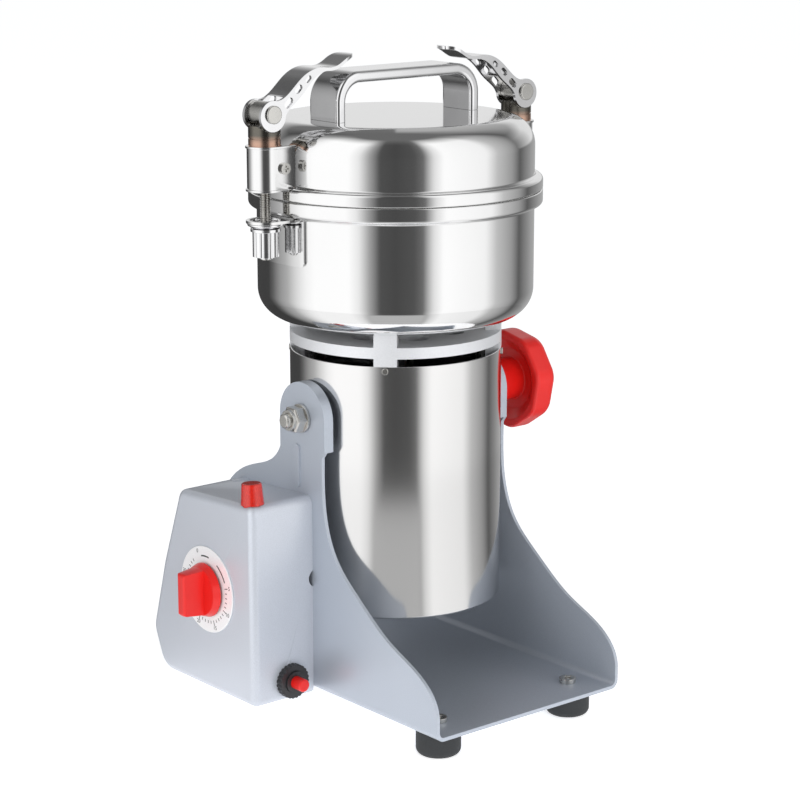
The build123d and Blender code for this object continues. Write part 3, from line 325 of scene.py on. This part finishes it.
def mesh_from(name, points, faces):
    """A mesh from points in millimetres and faces."""
    mesh = bpy.data.meshes.new(name)
    mesh.from_pydata([Vector(p) * MM for p in points], [], faces)
    mesh.validate()
    mesh.update()
    return mesh


def recalculated(mesh):
    """The same mesh with its faces turned outward."""
    work = bmesh.new()
    work.from_mesh(mesh)
    bmesh.ops.remove_doubles(work, verts=work.verts, dist=0.000002)
    bmesh.ops.recalc_face_normals(work, faces=work.faces)
    work.to_mesh(mesh)
    work.free()
    return mesh


def arc(centre, radius, start, stop, steps):
    """Points on an arc in a flat plane, angles in degrees."""
    found = []
    for step in range(steps + 1):
        turn = math.radians(start + (stop - start) * step / steps)
        found.append((centre[0] + radius * math.cos(turn), centre[1] + radius * math.sin(turn)))
    return found


def rounded(corners, default_radius=0.3, steps=5):
    """A closed outline with every corner rounded: corners are (x, y) or (x, y, radius)."""
    found = []
    count = len(corners)
    for index, corner in enumerate(corners):
        here = Vector(corner[:2])
        before = Vector(corners[index - 1][:2])
        after = Vector(corners[(index + 1) % count][:2])
        radius = corner[2] if len(corner) > 2 else default_radius
        into = (before - here).normalized()
        out = (after - here).normalized()
        half = into.angle(out) / 2
        if radius <= 0 or half > math.radians(89):
            found.append(tuple(here))
            continue
        reach = min(radius / math.tan(half), (before - here).length * 0.49, (after - here).length * 0.49)
        radius = reach * math.tan(half)
        centre = here + (into + out).normalized() * (radius / math.sin(half))
        first = here + into * reach - centre
        last = here + out * reach - centre
        sweep = first.angle_signed(last)
        for step in range(steps + 1):
            turn = -sweep * step / steps
            found.append(tuple(centre + Matrix.Rotation(turn, 2) @ first))
    return found


def lathe(name, outline, origin=(0, 0, 0), axis="Z", segments=SEGMENTS):
    """A solid turned round an axis from a closed outline of (radius, place along the axis)."""
    turned = {"Z": lambda c, s, r, h: (r * c, r * s, h), "X": lambda c, s, r, h: (h, r * c, r * s),
              "Y": lambda c, s, r, h: (r * s, h, r * c)}[axis]
    points = []
    for step in range(segments):
        turn = 2 * math.pi * step / segments
        for radius, height in outline:
            place = turned(math.cos(turn), math.sin(turn), max(radius, 0.0), height)
            points.append(tuple(a + b for a, b in zip(place, origin)))
    rows = len(outline)
    faces = []
    for step in range(segments):
        here = step * rows
        there = ((step + 1) % segments) * rows
        for row in range(rows):
            follow = (row + 1) % rows
            faces.append((here + row, there + row, there + follow, here + follow))
    return recalculated(mesh_from(name, points, faces))


def joined(name, meshes):
    """Several meshes as one."""
    work = bmesh.new()
    for mesh in meshes:
        work.from_mesh(mesh)
        bpy.data.meshes.remove(mesh)
    whole = bpy.data.meshes.new(name)
    work.to_mesh(whole)
    work.free()
    return whole


def softened(node, width, steps=2, angle=28.0):
    """A copy of a CAD node whose hard edges are rolled over, as bent, cast and turned metal is."""
    source = frame["nodes"][node].data
    work = bmesh.new()
    work.from_mesh(source)
    bmesh.ops.remove_doubles(work, verts=work.verts, dist=0.000002)
    bmesh.ops.dissolve_limit(work, angle_limit=math.radians(0.5), verts=work.verts, edges=work.edges)
    sharp = [e for e in work.edges if len(e.link_faces) == 2 and e.calc_face_angle(0) > math.radians(angle)]
    bmesh.ops.bevel(work, geom=sharp, offset=width * MM, offset_type="OFFSET", segments=steps,
                    profile=0.6, affect="EDGES", clamp_overlap=True)
    mesh = bpy.data.meshes.new(node + "_body")
    work.to_mesh(mesh)
    work.free()
    return add_piece(node + "_body", mesh, node_body[node], node_slot[node], (node,), 40.0)


# ---------------------------------------------------------------- sizes read off the frame
def span(node):
    """The lowest and highest corners of a node, in millimetres."""
    low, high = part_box(node)
    return low / MM, high / MM


bowl_low, bowl_high = span("bowl")
lid_low, lid_high = span("lid")
housing_low, housing_high = span("housing")
BOWL_R = 75.0
BEAD_R = bowl_high.x
BOWL_BOTTOM = bowl_low.z
BOWL_BORE = 11.55
BOWL_CORNER = 16.0
BOWL_SIDE_TOP = 275.2
PARTING = bowl_high.z
LID_BOTTOM = lid_low.z
LID_TOP = lid_high.z
LID_CORNER = 15.5
LID_SIDE_BOTTOM = 293.6
SKIN = 1.2


# ---------------------------------------------------------------- bowl, lid and housing
def bowl_outline():
    """The bowl's wall in section: rounded floor, straight side and rolled bead."""
    inside = BOWL_R - SKIN
    neck, bead, lip, rim = 1.5, 2.2, 0.8, 0.4
    bead_bottom = BOWL_SIDE_TOP + neck
    corner_centre = (BOWL_R - BOWL_CORNER, BOWL_BOTTOM + BOWL_CORNER)
    outline = [(BOWL_BORE, BOWL_BOTTOM), (BOWL_R - BOWL_CORNER, BOWL_BOTTOM)]
    outline += arc(corner_centre, BOWL_CORNER, -90, 0, 20)[1:]
    outline += [(BOWL_R, BOWL_SIDE_TOP)]
    outline += arc((BOWL_R + neck, BOWL_SIDE_TOP), neck, 180, 90, 5)[1:]
    outline += arc((BEAD_R - bead, bead_bottom + bead), bead, -90, 0, 8)
    outline += arc((BEAD_R - lip, PARTING - lip), lip, 0, 90, 5)
    outline += arc((inside + rim, PARTING - rim), rim, 90, 180, 3)
    outline += arc(corner_centre, BOWL_CORNER - SKIN, 0, -90, 20)
    outline += [(BOWL_BORE, BOWL_BOTTOM + SKIN)]
    return outline


def lid_outline():
    """The lid's wall in section: flat top, round shoulder and the upper half of the bead."""
    inside = BOWL_R - SKIN
    neck, bead, lip, rim = 1.4, 2.4, 0.8, 0.3
    bead_top = LID_SIDE_BOTTOM - neck
    corner_centre = (BOWL_R - LID_CORNER, LID_TOP - LID_CORNER)
    outline = [(0.0, LID_TOP), (BOWL_R - LID_CORNER, LID_TOP)]
    outline += arc(corner_centre, LID_CORNER, 90, 0, 20)[1:]
    outline += [(BOWL_R, LID_SIDE_BOTTOM)]
    outline += arc((BOWL_R + neck, LID_SIDE_BOTTOM), neck, 180, 270, 5)[1:]
    outline += arc((BEAD_R - bead, bead_top - bead), bead, 90, 0, 8)
    outline += arc((BEAD_R - lip, LID_BOTTOM + lip), lip, 0, -90, 5)
    outline += [(inside + rim, LID_BOTTOM), (inside, LID_BOTTOM + rim)]
    outline += arc(corner_centre, LID_CORNER - SKIN, 0, 90, 20)
    outline += [(0.0, LID_TOP - SKIN)]
    return outline


add_piece("bowl_shell", lathe("bowl_shell", bowl_outline()), "mill", "polished_steel", ("bowl",), 45)
add_piece("lid_shell", lathe("lid_shell", lid_outline()), "lid", "polished_steel", ("lid",), 45)

HOUSING_R = housing_high.x
housing_outline = rounded([
    (HOUSING_R - 4.0, housing_low.z), (HOUSING_R, housing_low.z, 1.4), (HOUSING_R, housing_high.z, 0.45),
    (HOUSING_R - 1.0, housing_high.z, 0.45), (HOUSING_R - 1.0, housing_low.z + 1.0, 0.4),
    (HOUSING_R - 4.0, housing_low.z + 1.0),
], 0.2)
add_piece("housing_tube", lathe("housing_tube", housing_outline), "mill", "brushed_tube", ("housing",), 45)


# ---------------------------------------------------------------- softened CAD pieces
SOFT_EDGES = {
    "stand": 0.5, "control_box": 0.4, "catches": 0.35, "latch_barrels": 0.25, "latch_saddles": 0.4,
    "upper_bracket": 0.5, "pivot_nut": 0.25, "pivot_washer": 0.3, "pivot_bolts": 0.2,
    "left_lever": 0.35, "right_lever": 0.35, "left_latch_rod": 0.3, "right_latch_rod": 0.3,
    "breaker_ring": 0.3, "breaker_body": 0.3, "cable_gland": 0.4, "timer_knob": 1.1, "lid_handle": 0.5,
    "foot_screws": 0.25, "box_screws": 0.25, "housing_screws": 0.3, "barrel_screws": 0.3,
    "lower_blade": 0.3, "hammer_carrier": 0.3, "hammer_pins": 0.3, "front_hammer": 0.3,
    "back_hammer": 0.3, "cap_nut": 0.4, "bowl_screws": 0.3, "shaft_seal": 0.4, "trunnion_blocks": 0.4,
    "left_latch_nut": 0.3, "right_latch_nut": 0.3, "left_spring_cup": 0.3, "right_spring_cup": 0.3,
    "lock_knob": 0.8, "dial_plate": 0.25,
}
for node_name, edge_width in SOFT_EDGES.items():
    softened(node_name, edge_width)


# ---------------------------------------------------------------- latch rods, screws and dial
def threaded_sleeve(name, place, low, high, root, crest, pitch, segments=40):
    """A screw thread round a rod: a ridge that climbs one pitch with each turn."""
    rings = int((high - low) / pitch * 4)
    points = []
    for ring in range(rings + 1):
        radius = crest if ring % 4 == 2 else (root if ring % 4 == 0 else (root + crest) / 2)
        for step in range(segments):
            turn = 2 * math.pi * step / segments
            height = min(max(low + (ring / 4 + step / segments) * pitch, low), high)
            points.append((place[0] + radius * math.cos(turn), place[1] + radius * math.sin(turn), height))
    faces = []
    for ring in range(rings):
        for step in range(segments):
            follow = (step + 1) % segments
            here = ring * segments + step
            if follow:
                faces.append((here, here + 1, here + 1 + segments, here + segments))
            elif ring < rings - 4:
                wrap = (ring + 4) * segments
                faces.append((here, wrap, wrap + segments, here + segments))
    return mesh_from(name, points, faces)


latch_low, latch_high = span("right_latch_rod")
LATCH_X = (latch_low.x + latch_high.x) / 2
THREAD_ROOT = 2.45
THREAD_CREST = 2.85
THREAD_PITCH = 0.9
barrel_bottom = span("latch_barrels")[0].z
cup_top = span("right_spring_cup")[1].z
THREADS = {"thread": (cup_top + 0.2, barrel_bottom + 8), "stub": (latch_low.z + 0.3, latch_low.z + 8)}
for side, side_name in ((-1, "left"), (1, "right")):
    for kind, (low, high) in THREADS.items():
        name = side_name + "_" + kind
        place = (side * LATCH_X, 0)
        sleeve = threaded_sleeve(name, place, low, high, THREAD_ROOT, THREAD_CREST, THREAD_PITCH)
        add_piece(name, sleeve, side_name + "_rod", "zinc_steel", smooth_angle=60)


def dome(name, place, axis, radius, height):
    """A low round head that stands on a face."""
    outline = [(0.0, 0.0), (radius, 0.0)]
    sphere = (radius * radius + height * height) / (2 * height)
    for step in range(1, 9):
        reach = radius * math.cos(math.pi / 2 * step / 8)
        outline.append((reach, height - sphere + math.sqrt(max(sphere * sphere - reach * reach, 0.0))))
    direction = axis[0]
    outline = [(r, h * direction) for r, h in outline]
    return lathe(name, outline, place, axis[1], 48)


PIN_HEAD_RADIUS = 3.4
PIN_HEAD_RISE = 0.04
for side, side_name in ((-1, "left"), (1, "right")):
    name = side_name + "_pin_heads"
    pin_low, pin_high = span(side_name + "_latch_pin")
    heads = []
    for end, direction in ((pin_low.y + 0.05, -1), (pin_high.y - 0.05, 1)):
        place = (side * LATCH_X, end, (pin_low.z + pin_high.z) / 2)
        heads.append(dome("head", place, (direction, "Y"), PIN_HEAD_RADIUS, PIN_HEAD_RISE))
    add_piece(name, joined(name, heads), side_name + "_rod", "zinc_steel")

dial_low, dial_high = span("dial_plate")
DIAL_FACE = dial_low.x
DIAL_Y = (dial_low.y + dial_high.y) / 2
DIAL_Z = (dial_low.z + dial_high.z) / 2
MARK_INNER = 17.4
MARK_OUTER = 19.0
LONG_MARK_OUTER = 20.2
NUMBER_REACH = 21.6
NUMBER_HEIGHT = 3.2
FIRST_MARK = 76.0
MARK_STEP = 8.4
MARKS_PER_NUMBER = 5


def dial_mark(start, stop, inner, outer):
    """A printed mark on the dial between two angles (degrees, clockwise from the top) and two radii."""
    steps = max(1, int((stop - start) / 4))
    points = []
    for depth in (0.0, 0.05):
        for radius in (inner, outer):
            for step in range(steps + 1):
                turn = math.radians(start + (stop - start) * step / steps)
                across = DIAL_Y - radius * math.sin(turn)
                points.append((DIAL_FACE - depth, across, DIAL_Z + radius * math.cos(turn)))
    row = steps + 1
    faces = []
    for step in range(steps):
        faces.append((2 * row + step, 2 * row + step + 1, 3 * row + step + 1, 3 * row + step))
        faces.append((step + 1, step, row + step, row + step + 1))
        faces.append((step, step + 1, 2 * row + step + 1, 2 * row + step))
        faces.append((row + step + 1, row + step, 3 * row + step, 3 * row + step + 1))
    faces.append((0, 2 * row, 3 * row, row))
    faces.append((row - 1, 2 * row - 1, 4 * row - 1, 3 * row - 1))
    return recalculated(mesh_from("mark", points, faces))


marks = [dial_mark(start, stop, MARK_OUTER - 0.8, MARK_OUTER) for start, stop in ((-14, 8), (32, 66))]
for index in range(30):
    angle = FIRST_MARK + index * MARK_STEP
    outer = MARK_OUTER if index % MARKS_PER_NUMBER else LONG_MARK_OUTER
    marks.append(dial_mark(angle - 0.7, angle + 0.7, MARK_INNER, outer))
add_piece("dial_marks", joined("dial_marks", marks), "stand", "black_plastic", smooth_angle=20)


def dial_number(text, angle):
    """A small printed number on the dial."""
    turn = math.radians(angle)
    curve = bpy.data.curves.new("number", "FONT")
    curve.body = text
    curve.size = NUMBER_HEIGHT * MM
    curve.extrude = 0.025 * MM
    curve.align_x = "CENTER"
    curve.align_y = "CENTER"
    holder = bpy.data.objects.new("number", curve)
    bpy.context.scene.collection.objects.link(holder)
    bpy.context.view_layer.update()
    mesh = bpy.data.meshes.new_from_object(holder)
    bpy.data.objects.remove(holder)
    bpy.data.curves.remove(curve)
    across = DIAL_Y - NUMBER_REACH * math.sin(turn)
    place = Vector((DIAL_FACE - 0.02, across, DIAL_Z + NUMBER_REACH * math.cos(turn))) * MM
    stand_up = Matrix(((0, 0, -1), (-1, 0, 0), (0, 1, 0))).to_4x4()
    mesh.transform(Matrix.Translation(place) @ stand_up)
    return mesh


NUMBER_STEP = MARKS_PER_NUMBER * MARK_STEP
numbers = [dial_number(str(MARKS_PER_NUMBER * (index + 1)), FIRST_MARK + NUMBER_STEP * index)
           for index in range(6)]
numbers.append(dial_number("0", -22))
add_piece("dial_numbers", joined("dial_numbers", numbers), "stand", "black_plastic", smooth_angle=20)


# ---------------------------------------------------------------- studio
scene = bpy.context.scene
scene.view_settings.view_transform = "Standard"
CAMERA_BEARING = math.degrees(math.atan2(camera_place.x, -camera_place.y))


def glow(name, color, strength):
    """A material that only shines, for cards and backdrops."""
    material, tree, shader = new_material(name, (0.0, 0.0, 0.0), 0.0, 1.0)
    shader.inputs["Specular IOR Level"].default_value = 0.0
    shader.inputs["Emission Color"].default_value = (*color, 1.0)
    shader.inputs["Emission Strength"].default_value = strength
    return material, tree, shader


def stage_object(name, mesh, material, sees=("camera", "diffuse", "glossy", "transmission", "shadow")):
    """A floor, backdrop or card, and the kinds of ray that meet it."""
    mesh.materials.clear()
    mesh.materials.append(material)
    card = bpy.data.objects.new(name, mesh)
    bpy.context.scene.collection.objects.link(card)
    card.visible_camera = "camera" in sees
    card.visible_diffuse = "diffuse" in sees
    card.visible_glossy = "glossy" in sees
    card.visible_transmission = "transmission" in sees
    card.visible_shadow = "shadow" in sees


def surface_of_turning(name, outline, segments=96):
    """An open surface turned round the vertical axis, from (radius, height) in metres."""
    points = []
    for step in range(segments):
        turn = 2 * math.pi * step / segments
        points += [(r * math.cos(turn), r * math.sin(turn), h) for r, h in outline]
    rows = len(outline)
    faces = []
    for step in range(segments):
        here = step * rows
        there = ((step + 1) % segments) * rows
        faces += [(here + row, there + row, there + row + 1, here + row + 1) for row in range(rows - 1)]
    mesh = bpy.data.meshes.new(name)
    mesh.from_pydata(points, [], faces)
    mesh.shade_smooth()
    return mesh


# The light tent that the polished steel reflects: white panels left and right of a dark
# opening in front, a dark screen behind on the left, and a dim ceiling.
TENT_RADIUS = 0.55
TENT_FOOT = 0.0006
TENT_WALL = 0.5
TENT_DOME = 0.6
tent_outline = [(reach, TENT_FOOT) for reach in (0.17, 0.3, 0.42, TENT_RADIUS)]
tent_outline += [(TENT_RADIUS, TENT_WALL)]
tent_outline += [(TENT_RADIUS * math.cos(math.radians(a)), TENT_WALL + TENT_DOME * math.sin(math.radians(a)))
                 for a in range(9, 90, 9)]
tent_outline += [(0.001, TENT_WALL + TENT_DOME)]
BEHIND_LEVEL = 0.80
TABLE_LEVEL = 0.66
CEILING_LEVEL = 0.16
# (degrees round from the camera, positive to its right; brightness)
TENT_PANELS = [
    (-180, 0.055), (-123, 0.055), (-115, 0.13), (-104, 0.34), (-94, 0.48), (-84, 0.80), (-74, 1.06),
    (-66, 1.16), (-36, 1.16), (-28, 0.95), (-20, 0.42), (-12, 0.085), (0, 0.07), (14, 0.09),
    (21, 0.16), (29, 0.85), (37, 1.16), (74, 1.04), (86, 0.60), (104, 0.36), (116, 0.11),
    (126, 0.22), (142, 0.36), (168, 0.48), (180, 0.48),
]


def tent_material():
    """The tent's brightness by direction round the mill and by height."""
    material, tree, shader = glow("tent", (1, 1, 1), 1.0)
    angle, reach, along = polar_vector(tree)
    away = math.radians(CAMERA_BEARING - 90)
    turned = math_node(tree, "SUBTRACT", angle, away)
    wrap = tree.nodes.new("ShaderNodeMath")
    wrap.operation = "WRAP"
    wrap.inputs[1].default_value = math.pi
    wrap.inputs[2].default_value = -math.pi
    tree.links.new(turned, wrap.inputs[0])
    wrapped = wrap.outputs["Value"]
    share = math_node(tree, "ADD", math_node(tree, "DIVIDE", wrapped, 2 * math.pi), 0.5)
    # Panels by direction, lifted behind the mill for what its lid and handle reflect.
    panels = ramp(tree, share, [((degrees + 180) / 360, float(level)) for degrees, level in TENT_PANELS])
    behind = ramp(tree, share, [(0.10, 1.0), (0.22, 0.0), (0.78, 0.0), (0.90, 1.0)])
    above = ramp(tree, along, [(0.27, 0.0), (0.32, 1.0), (0.50, 1.0), (0.68, 0.22)])
    lift = math_node(tree, "MULTIPLY", behind, above)
    bright = math_node(tree, "MAXIMUM", panels, math_node(tree, "MULTIPLY", lift, BEHIND_LEVEL))
    # A dim ceiling above, and the bright table in front below.
    ceiling = ramp(tree, math_node(tree, "DIVIDE", reach, TENT_RADIUS), [(0.42, 1.0), (0.80, 0.0)])
    ceiling = math_node(tree, "MULTIPLY", ceiling, ramp(tree, along, [(0.45, 0.0), (0.55, 1.0)]))
    near = ramp(tree, math_node(tree, "DIVIDE", reach, TENT_RADIUS), [(0.84, 1.0), (0.99, 0.0)])
    low = ramp(tree, along, [(0.002, 1.0), (0.004, 0.0)])
    front = ramp(tree, share, [(0.34, 0.0), (0.44, 1.0), (0.56, 1.0), (0.66, 0.0)])
    table = math_node(tree, "MULTIPLY", math_node(tree, "MULTIPLY", near, low), front)
    bright = math_node(tree, "MAXIMUM", bright, math_node(tree, "MULTIPLY", table, TABLE_LEVEL))
    shade = math_node(tree, "SUBTRACT", 1.0, math_node(tree, "MULTIPLY", low, 0.12))
    bright = math_node(tree, "MULTIPLY", bright, shade)
    mix = math_node(tree, "MULTIPLY", bright, math_node(tree, "SUBTRACT", 1.0, ceiling))
    level = math_node(tree, "ADD", mix, math_node(tree, "MULTIPLY", ceiling, CEILING_LEVEL))
    tree.links.new(level, shader.inputs["Emission Strength"])
    return material


stage_object("tent", surface_of_turning("tent", tent_outline), tent_material(), ("glossy", "transmission"))

ROOM_RADIUS = 9.0
backdrop_outline = arc((0.0, 0.0), ROOM_RADIUS, -20, 90, 11)
backdrop_material = glow("backdrop", (1.0, 1.0, 1.0), 1.0)[0]
stage_object("backdrop", surface_of_turning("backdrop", backdrop_outline), backdrop_material, ("camera",))

floor_material, _, floor_shader = new_material("floor_white", (0.86, 0.86, 0.87), 0.0, 0.9)
floor_shader.inputs["Specular IOR Level"].default_value = 0.0
floor_shader.inputs["Emission Color"].default_value = (1.0, 1.0, 1.0, 1.0)
floor_shader.inputs["Emission Strength"].default_value = 0.66
floor_outline = [(0.001, 0.0), (0.5, 0.0), (1.5, 0.0), (ROOM_RADIUS, 0.0)]
stage_object("floor", surface_of_turning("floor", floor_outline), floor_material)

world = bpy.data.worlds.new("studio")
scene.world = world
world.use_nodes = True
world.node_tree.nodes["Background"].inputs["Color"].default_value = (0.96, 0.98, 1.0, 1.0)
world.node_tree.nodes["Background"].inputs["Strength"].default_value = 0.40


def area_light(name, bearing, elevation, distance, width, height, power):
    """A soft light that faces the mill; bearing 0 is its front and 90 its right."""
    turn = math.radians(bearing)
    rise = math.radians(elevation)
    aim = Vector((0.0, 0.0, 0.18))
    data = bpy.data.lights.new(name, "AREA")
    data.shape = "RECTANGLE"
    data.size = width
    data.size_y = height
    data.energy = power
    light = bpy.data.objects.new(name, data)
    out = Vector((math.sin(turn) * math.cos(rise), -math.cos(turn) * math.cos(rise), math.sin(rise)))
    light.location = aim + out * distance
    light.rotation_euler = (-out).to_track_quat("-Z", "Y").to_euler()
    light.visible_glossy = False
    bpy.context.scene.collection.objects.link(light)


area_light("left_panel", -86, 10, 1.9, 1.3, 1.3, 14)
area_light("front_panel", -10, 7, 2.0, 1.2, 1.0, 20)
area_light("right_panel", 50, 30, 2.0, 1.0, 1.0, 6)
